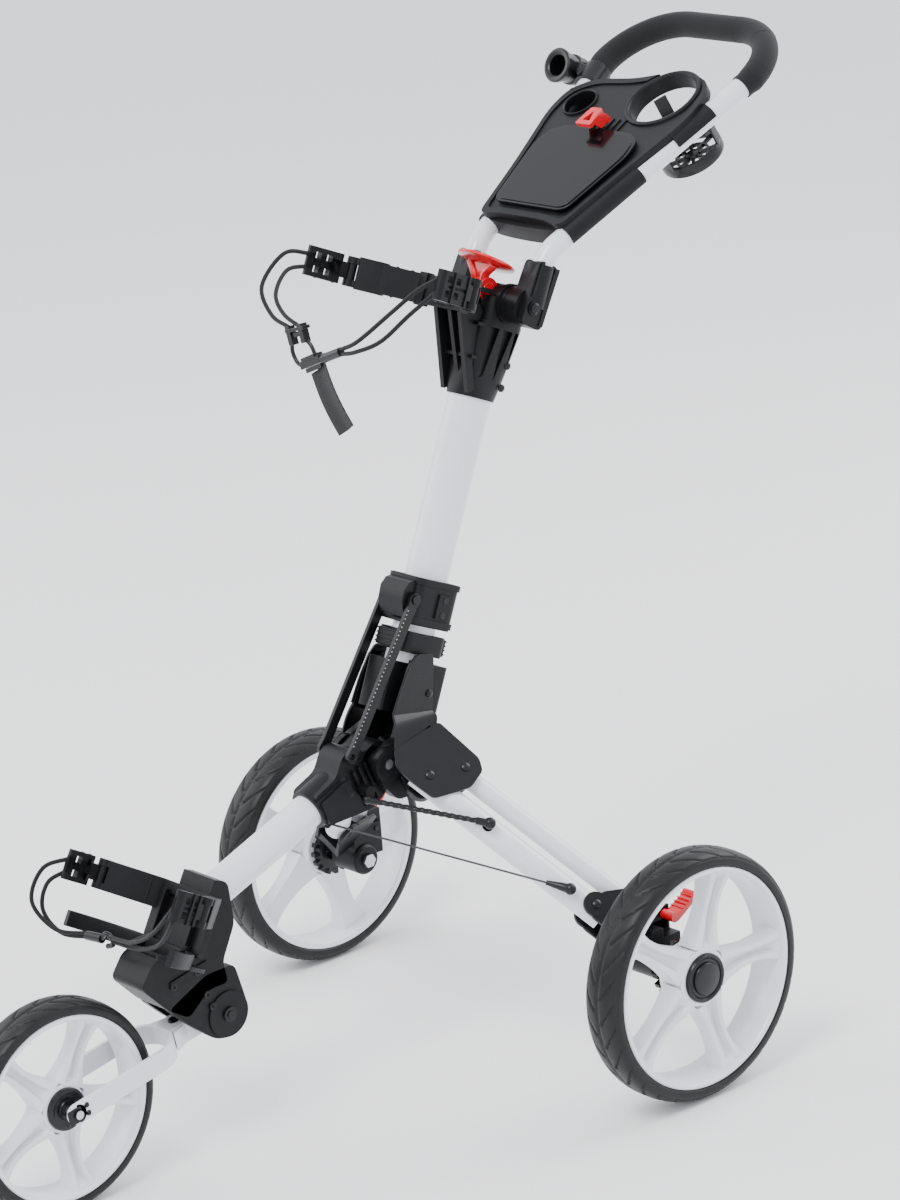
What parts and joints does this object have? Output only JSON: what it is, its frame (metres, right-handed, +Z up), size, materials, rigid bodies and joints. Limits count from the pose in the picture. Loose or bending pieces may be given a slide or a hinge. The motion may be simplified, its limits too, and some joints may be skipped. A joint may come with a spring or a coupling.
{
  "type": "golf push trolley",
  "caption": "Folding three-wheel push trolley that carries a golf bag on two cradles, with a console, cup holder and foam handle.",
  "frame": {"origin": "middle of the footprint, on the ground", "axes": "+Z up, -Y towards the front wheel, +X towards the trolley's left wheel"},
  "size_m": [0.7114, 1.2244, 1.1299],
  "materials": {
    "white_tube": "gloss white powder coat",
    "black_casting": "fine textured black",
    "black_steel": "satin black",
    "white_rim": "gloss white moulding",
    "tyre": "semi matt",
    "red": "gloss red",
    "steel": "satin",
    "gloss_black": "gloss",
    "foam": "matt foam",
    "cord": "braided",
    "wire": "plain",
    "hub_black": "satin"
  },
  "bodies": {
    "frame": {"column_tube": "white_tube", "hub_casting": "black_casting", "leg_brackets": "black_steel", "leg_pins": "steel", "upper_casting": "black_casting", "upper_cradle": "black_casting", "hinge_bolt": "steel", "upper_bungee": "cord", "bungee_fittings": "black_casting"},
    "collar": {"collar": "black_casting"},
    "link_bars": {"link_bars": "black_steel"},
    "latch_ring": {"latch_ring": "black_casting"},
    "front_arm": {"arm_knuckle": "black_casting", "arm_tube": "white_tube", "arm_pins": "steel", "front_block": "black_casting", "block_bolts": "black_steel", "lower_cradle": "black_casting", "lower_bungee": "cord"},
    "front_fork": {"front_fork": "white_tube", "front_axle": "steel"},
    "front_wheel": {"front_rim": "white_rim", "front_tyre": "tyre", "front_bearings": "steel", "front_hub_caps": "hub_black"},
    "handle": {"handle_tube": "white_tube", "handle_grip": "foam", "handle_knuckles": "black_casting", "console_tray": "black_casting", "cup_base": "black_casting", "umbrella_socket": "black_casting"},
    "lock_lever": {"lock_lever": "red"},
    "console_lid": {"console_lid": "gloss_black"},
    "lid_latch": {"lid_latch": "red"},
    "left_leg": {"left_leg_tube": "white_tube"},
    "left_rear_tube": {"left_rear_tube": "white_tube"},
    "left_carrier": {"left_carrier": "black_casting", "left_axle_and_pins": "steel"},
    "left_brake_pedal": {"left_brake_pedal": "red"},
    "left_wheel": {"left_rim": "white_rim", "left_tyre": "tyre", "left_hub": "hub_black", "left_bearings": "steel"},
    "left_stay_rod": {"left_stay_rod": "black_steel"},
    "left_wire": {"left_wire": "wire"},
    "upper_left_ear": {"upper_left_ear": "black_casting"},
    "lower_left_ear": {"lower_left_ear": "black_casting"},
    "right_leg": {"right_leg_tube": "white_tube"},
    "right_rear_tube": {"right_rear_tube": "white_tube"},
    "right_carrier": {"right_carrier": "black_casting", "right_axle_and_pins": "steel"},
    "right_brake_pedal": {"right_brake_pedal": "red"},
    "right_wheel": {"right_rim": "white_rim", "right_tyre": "tyre", "right_hub": "hub_black", "right_bearings": "steel"},
    "right_stay_rod": {"right_stay_rod": "black_steel"},
    "right_wire": {"right_wire": "wire"},
    "upper_right_ear": {"upper_right_ear": "black_casting"},
    "lower_right_ear": {"lower_right_ear": "black_casting"}
  },
  "joints": [
    {"name": "frame_fold", "type": "hinge", "parent": "frame", "child": "front_arm", "pos_m": [0, -0.02074, 0.383], "axis": [-1, 0, 0], "range_deg": [0, 90]},
    {"name": "collar_slide", "type": "slide", "parent": "frame", "child": "collar", "axis": [0, 0.4067, 0.9135], "range_m": [0, 0.0499]},
    {"name": "link_swing", "type": "hinge", "parent": "collar", "child": "link_bars", "pos_m": [0, 0.04729, 0.55801], "axis": [1, 0, 0], "range_deg": [0, 14]},
    {"name": "latch_slide", "type": "slide", "parent": "frame", "child": "latch_ring", "axis": [0, -0.4067, -0.9135], "range_m": [0, 0.007], "stiffness_N_per_m": 1500, "springref_m": -0.003},
    {"name": "left_leg_fold", "type": "hinge", "parent": "frame", "child": "left_leg", "pos_m": [0.0666, 0.00736, 0.3607], "axis": [-0.738, 0.2231, -0.6368], "range_deg": [0, 55.1]},
    {"name": "left_rear_tube_fold", "type": "hinge", "parent": "frame", "child": "left_rear_tube", "pos_m": [0.07954, 0.04984, 0.36058], "axis": [-0.738, 0.2231, -0.6368], "range_deg": [0, 55.1]},
    {"name": "left_carrier_level", "type": "hinge", "parent": "left_leg", "child": "left_carrier", "pos_m": [0.22397, 0.10406, 0.21219], "axis": [0.738, -0.2231, 0.6368], "range_deg": [0, 55.1]},
    {"name": "left_stay_swing", "type": "hinge", "parent": "front_arm", "child": "left_stay_rod", "pos_m": [0.045, -0.06174, 0.354], "axis": [-0.3278, -0.8989, 0.2909], "range_deg": [0, 48.2]},
    {"name": "left_wire_swing", "type": "hinge", "parent": "left_leg", "child": "left_wire", "pos_m": [0.21973, 0.0781, 0.24507], "axis": [-0.647, -0.4886, 0.5854], "range_deg": [0, 54.1]},
    {"name": "left_wheel_spin", "type": "hinge", "parent": "left_carrier", "child": "left_wheel", "pos_m": [0.3287, 0.15426, 0.146], "axis": [1, 0, 0], "continuous": true},
    {"name": "left_brake", "type": "hinge", "parent": "left_carrier", "child": "left_brake_pedal", "pos_m": [0.263, 0.17826, 0.194], "axis": [-1, 0, 0], "range_deg": [0, 25]},
    {"name": "upper_left_ear_fold", "type": "hinge", "parent": "frame", "child": "upper_left_ear", "pos_m": [0.104, 0.09961, 0.91105], "axis": [0, -0.4067, -0.9135], "range_deg": [0, 75], "deforming": ["upper_bungee"]},
    {"name": "lower_left_ear_fold", "type": "hinge", "parent": "front_arm", "child": "lower_left_ear", "pos_m": [0.092, -0.33743, 0.31832], "axis": [0, -0.5, -0.866], "range_deg": [0, 60], "deforming": ["lower_bungee"]},
    {"name": "right_leg_fold", "type": "hinge", "parent": "frame", "child": "right_leg", "pos_m": [-0.0666, 0.00736, 0.3607], "axis": [-0.738, -0.2231, 0.6368], "range_deg": [0, 55.1]},
    {"name": "right_rear_tube_fold", "type": "hinge", "parent": "frame", "child": "right_rear_tube", "pos_m": [-0.07954, 0.04984, 0.36058], "axis": [-0.738, -0.2231, 0.6368], "range_deg": [0, 55.1]},
    {"name": "right_carrier_level", "type": "hinge", "parent": "right_leg", "child": "right_carrier", "pos_m": [-0.22397, 0.10406, 0.21219], "axis": [0.738, 0.2231, -0.6368], "range_deg": [0, 55.1]},
    {"name": "right_stay_swing", "type": "hinge", "parent": "front_arm", "child": "right_stay_rod", "pos_m": [-0.045, -0.06174, 0.354], "axis": [-0.3278, 0.8989, -0.2909], "range_deg": [0, 48.2]},
    {"name": "right_wire_swing", "type": "hinge", "parent": "right_leg", "child": "right_wire", "pos_m": [-0.21973, 0.0781, 0.24507], "axis": [-0.647, 0.4886, -0.5854], "range_deg": [0, 54.1]},
    {"name": "right_wheel_spin", "type": "hinge", "parent": "right_carrier", "child": "right_wheel", "pos_m": [-0.3287, 0.15426, 0.146], "axis": [1, 0, 0], "continuous": true},
    {"name": "right_brake", "type": "hinge", "parent": "right_carrier", "child": "right_brake_pedal", "pos_m": [-0.263, 0.17826, 0.194], "axis": [-1, 0, 0], "range_deg": [0, 25]},
    {"name": "upper_right_ear_fold", "type": "hinge", "parent": "frame", "child": "upper_right_ear", "pos_m": [-0.104, 0.09961, 0.91105], "axis": [0, 0.4067, 0.9135], "range_deg": [0, 75]},
    {"name": "lower_right_ear_fold", "type": "hinge", "parent": "front_arm", "child": "lower_right_ear", "pos_m": [-0.092, -0.33743, 0.31832], "axis": [0, 0.5, 0.866], "range_deg": [0, 60]},
    {"name": "fork_fold", "type": "hinge", "parent": "front_arm", "child": "front_fork", "pos_m": [0, -0.27074, 0.16], "axis": [1, 0, 0], "range_deg": [0, 165]},
    {"name": "front_wheel_spin", "type": "hinge", "parent": "front_fork", "child": "front_wheel", "pos_m": [0, -0.49174, 0.1205], "axis": [1, 0, 0], "continuous": true},
    {"name": "handle_fold", "type": "hinge", "parent": "frame", "child": "handle", "pos_m": [0, 0.21923, 0.86502], "axis": [-1, 0, 0], "range_deg": [0, 110]},
    {"name": "lock_lever_turn", "type": "hinge", "parent": "frame", "child": "lock_lever", "pos_m": [0, 0.20319, 0.8831], "axis": [1, 0, 0], "range_deg": [0, 30]},
    {"name": "lid_open", "type": "hinge", "parent": "handle", "child": "console_lid", "pos_m": [0, 0.28271, 0.96482], "axis": [1, 0, 0], "range_deg": [0, 100]},
    {"name": "lid_latch_turn", "type": "hinge", "parent": "console_lid", "child": "lid_latch", "pos_m": [-0.004, 0.40505, 1.03289], "axis": [-1, 0, 0], "range_deg": [0, 20], "stiffness_Nm_per_rad": 0.5}
  ],
  "couplings": [
    {"joint": "collar_slide", "follows": "frame_fold", "m_per_rad": 0.03145},
    {"joint": "link_swing", "follows": "frame_fold", "ratio": 0.15032},
    {"joint": "left_leg_fold", "follows": "frame_fold", "ratio": 0.6111},
    {"joint": "left_rear_tube_fold", "follows": "frame_fold", "ratio": 0.6111},
    {"joint": "left_carrier_level", "follows": "frame_fold", "ratio": 0.6111},
    {"joint": "left_stay_swing", "follows": "frame_fold", "ratio": 0.53214},
    {"joint": "left_wire_swing", "follows": "frame_fold", "ratio": 0.59772},
    {"joint": "right_leg_fold", "follows": "frame_fold", "ratio": 0.6111},
    {"joint": "right_rear_tube_fold", "follows": "frame_fold", "ratio": 0.6111},
    {"joint": "right_carrier_level", "follows": "frame_fold", "ratio": 0.6111},
    {"joint": "right_stay_swing", "follows": "frame_fold", "ratio": 0.53214},
    {"joint": "right_wire_swing", "follows": "frame_fold", "ratio": 0.59772}
  ]
}
